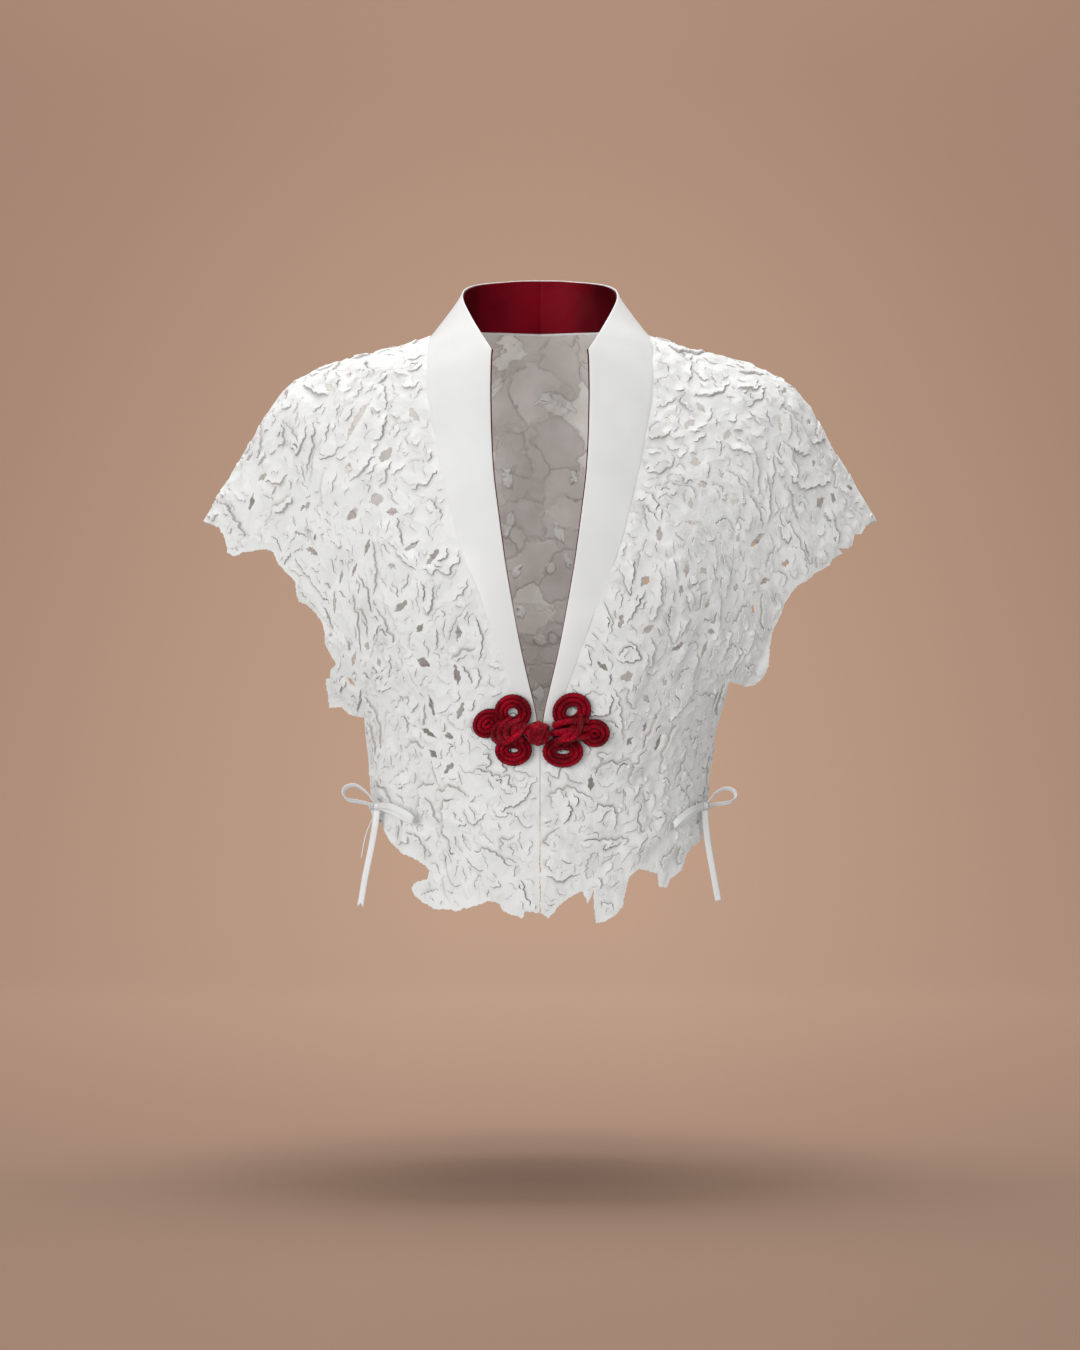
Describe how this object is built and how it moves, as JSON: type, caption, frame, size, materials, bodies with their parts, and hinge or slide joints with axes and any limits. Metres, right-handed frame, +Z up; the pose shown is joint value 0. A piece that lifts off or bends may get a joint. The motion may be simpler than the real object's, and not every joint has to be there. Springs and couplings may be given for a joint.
{
  "type": "kebaya blouse",
  "caption": "Cropped lace kebaya blouse with cut-on cap sleeves, satin collar band lined in red, knotted frog fastening and ribbon side ties.",
  "frame": {"origin": "the middle between the two shoulders, level with the shoulder seams at the neck, where the wearer's shoulders and neck hold the blouse", "axes": "+Z up, +X to the wearer's left, -Y out of the front"},
  "size_m": [0.5979, 0.2285, 0.5703],
  "materials": {
    "lace": "matt white guipure lace with raised petals",
    "satin": "smooth white satin with a soft sheen",
    "lining": "dark crimson satin lining",
    "red_cord": "crimson braided satin cord",
    "ribbon": "narrow white satin ribbon"
  },
  "bodies": {
    "root": {"front_right": "lace", "front_left": "lace", "back": "lace", "collar_right": "satin", "collar_left": "satin", "collar_lining_right": "lining", "collar_lining_left": "lining", "frog_right": "red_cord", "frog_left": "red_cord", "frog_button": "red_cord", "tie_right_knot": "ribbon", "tie_right_loop_outer": "ribbon", "tie_right_loop_inner": "ribbon", "tie_right_tail_front": "ribbon", "tie_right_tail_back": "ribbon", "tie_right_lacing": "ribbon", "tie_left_knot": "ribbon", "tie_left_loop_outer": "ribbon", "tie_left_loop_inner": "ribbon", "tie_left_tail_front": "ribbon", "tie_left_tail_back": "ribbon", "tie_left_lacing": "ribbon"}
  },
  "joints": []
}
